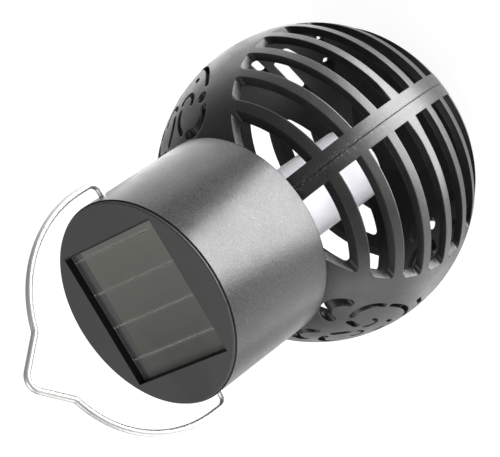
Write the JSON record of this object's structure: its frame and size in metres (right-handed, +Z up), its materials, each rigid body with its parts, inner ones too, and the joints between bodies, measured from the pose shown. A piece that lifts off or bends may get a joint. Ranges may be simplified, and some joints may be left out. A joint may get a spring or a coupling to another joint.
{
  "type": "solar garden light",
  "caption": "Hanging solar garden light: a slatted globe of two halves under a drum head with a solar panel and a bent wire bail.",
  "frame": {"origin": "centre of the flat foot under the globe, at the globe's axis and at the height it stands on", "axes": "+Z up along the globe's axis, X across the seam of the two globe halves, +Y along the seam towards the back"},
  "size_m": [0.12, 0.12, 0.2111],
  "materials": {
    "globe_plastic": "charcoal black with a fine mould texture and a soft shine, pale scuffs along the seam",
    "seal_rubber": "matte black",
    "sleeve_paint": "gun-metal paint with fine sparkle, bare at the rim",
    "plate_plastic": "fine matte texture, dark grey",
    "panel_glass": "clear, smooth",
    "cell_silicon": "grey-green laminated cell with pale gaps",
    "backing_board": "pale laminate",
    "foam_tape": "soft adhesive foam",
    "screw_steel": "zinc plated",
    "tray_plastic": "black",
    "cell_jacket": "plain green sleeve over a metal can",
    "contact_steel": "nickel plated spring steel",
    "board_laminate": "green solder mask",
    "lamp_resin": "clear resin with a yellow core",
    "chip_plastic": "black moulded body",
    "coil_ferrite": "dark ferrite",
    "switch_metal": "stamped shell",
    "slider_plastic": "black, ridged",
    "frosted_plastic": "frosted translucent white",
    "lead_insulation": "smooth flexible insulation",
    "wire_steel": "polished bent wire"
  },
  "bodies": {
    "globe": {"globe_half_left": "globe_plastic", "globe_half_right": "globe_plastic"},
    "seal": {"neck_seal": "seal_rubber"},
    "head": {"head_sleeve": "sleeve_paint", "top_plate": "plate_plastic", "solar_glass": "panel_glass", "solar_cells": "cell_silicon", "panel_backing": "backing_board", "panel_tape": "foam_tape", "base_plate": "plate_plastic", "base_screws": "screw_steel", "battery_tray": "tray_plastic", "tray_screws": "screw_steel", "battery": "cell_jacket", "contact_minus": "contact_steel", "contact_plus": "contact_steel", "circuit_board": "board_laminate", "board_screws": "screw_steel", "led": "lamp_resin", "driver_chip": "chip_plastic", "boost_coil": "coil_ferrite", "switch_body": "switch_metal", "diffuser_tube": "frosted_plastic", "panel_leads": "lead_insulation", "battery_leads": "lead_insulation"},
    "switch": {"switch_slider": "slider_plastic"},
    "bail": {"bail": "wire_steel"}
  },
  "joints": [
    {"name": "head_lift", "type": "slide", "parent": "globe", "child": "seal", "axis": [0, 0, 1], "range_m": [0, 0.085]},
    {"name": "head_turn", "type": "hinge", "parent": "seal", "child": "head", "pos_m": [0, 0, 0.1081], "axis": [0, 0, 1], "continuous": true},
    {"name": "bail_swing", "type": "hinge", "parent": "head", "child": "bail", "pos_m": [0, 0, 0.14725], "axis": [0.982, -0.1891, 0], "range_deg": [-123, 135]},
    {"name": "switch_slide", "type": "slide", "parent": "head", "child": "switch", "axis": [0.1891, 0.982, 0], "range_m": [0, 0.004]}
  ]
}
